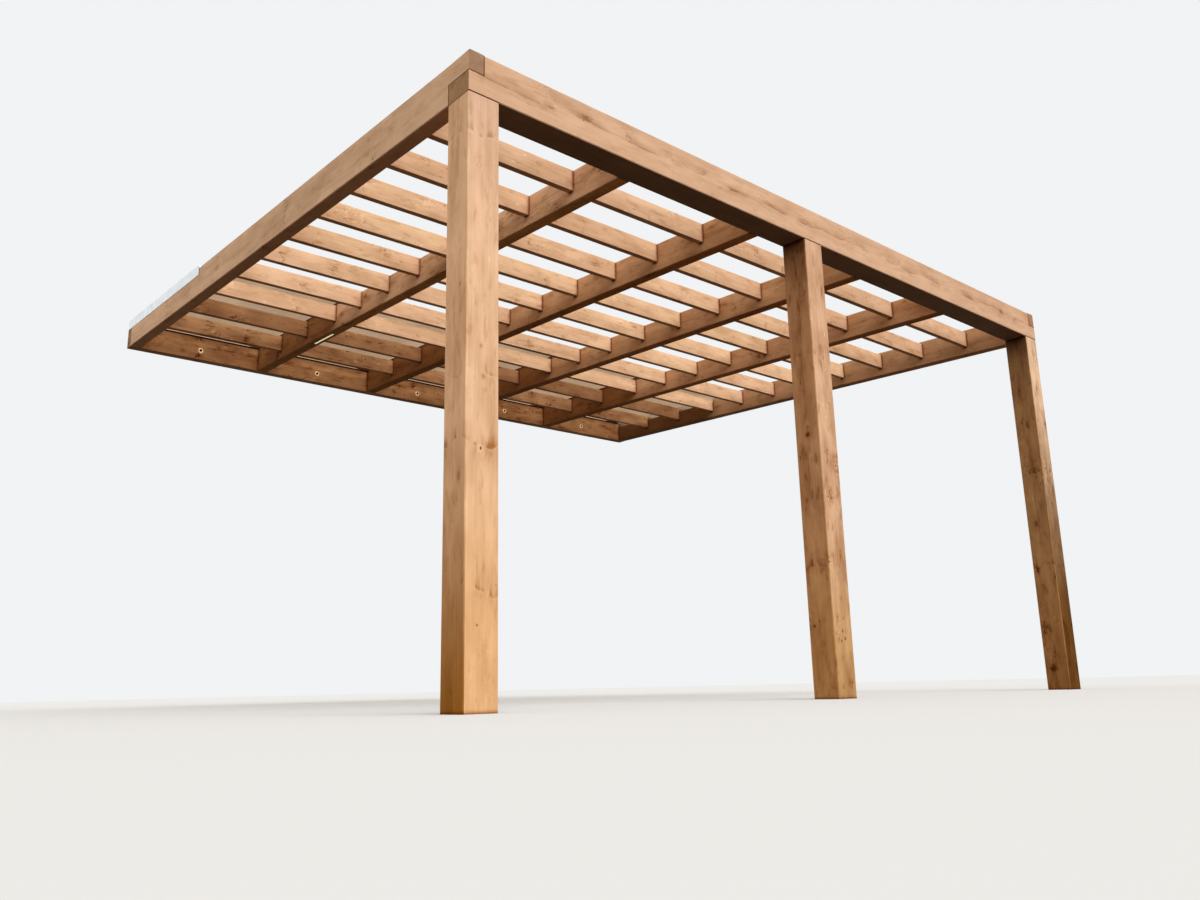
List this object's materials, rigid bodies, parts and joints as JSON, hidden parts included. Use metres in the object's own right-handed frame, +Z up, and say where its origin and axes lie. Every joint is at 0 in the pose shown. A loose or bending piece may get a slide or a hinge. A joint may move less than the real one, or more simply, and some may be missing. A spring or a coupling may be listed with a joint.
{
  "type": "wall pergola",
  "caption": "Lean-to wooden pergola: posts and beam at the front, slats between sloping rafters, ledger bolted to a wall, clear cover sheets along the wall.",
  "frame": {"origin": "middle of the ledger's back face, which lies on the wall", "axes": "+X along the wall to the right as seen from the front, +Y into the wall, +Z up"},
  "size_m": [5.165, 4.71, 2.9504],
  "materials": {
    "stained_timber": "planed softwood with a translucent honey-brown stain",
    "mill_aluminium": "mill finish, weathered matt",
    "bronze_sheet": "clear bronze-tinted sheet",
    "zinc_steel": "yellow-passivated zinc on bolts and washers",
    "black_seal": "matt black sealant"
  },
  "bodies": {
    "root": {"post_left": "stained_timber", "post_middle": "stained_timber", "post_right": "stained_timber", "front_beam": "stained_timber", "side_beam_left": "stained_timber", "side_beam_right": "stained_timber", "rafter_1": "stained_timber", "rafter_2": "stained_timber", "rafter_3": "stained_timber", "rafter_4": "stained_timber", "ledger": "stained_timber", "slat_row_01": "stained_timber", "slat_row_02": "stained_timber", "slat_row_03": "stained_timber", "slat_row_04": "stained_timber", "slat_row_05": "stained_timber", "slat_row_06": "stained_timber", "slat_row_07": "stained_timber", "slat_row_08": "stained_timber", "slat_row_09": "stained_timber", "slat_row_10": "stained_timber", "edge_rail_left": "mill_aluminium", "edge_rail_right": "mill_aluminium", "joint_bar_1": "mill_aluminium", "joint_bar_2": "mill_aluminium", "joint_bar_3": "mill_aluminium", "joint_bar_4": "mill_aluminium", "front_trim": "mill_aluminium", "cover_sheet_1": "bronze_sheet", "cover_sheet_2": "bronze_sheet", "cover_sheet_3": "bronze_sheet", "cover_sheet_4": "bronze_sheet", "cover_sheet_5": "bronze_sheet"}
  },
  "joints": []
}
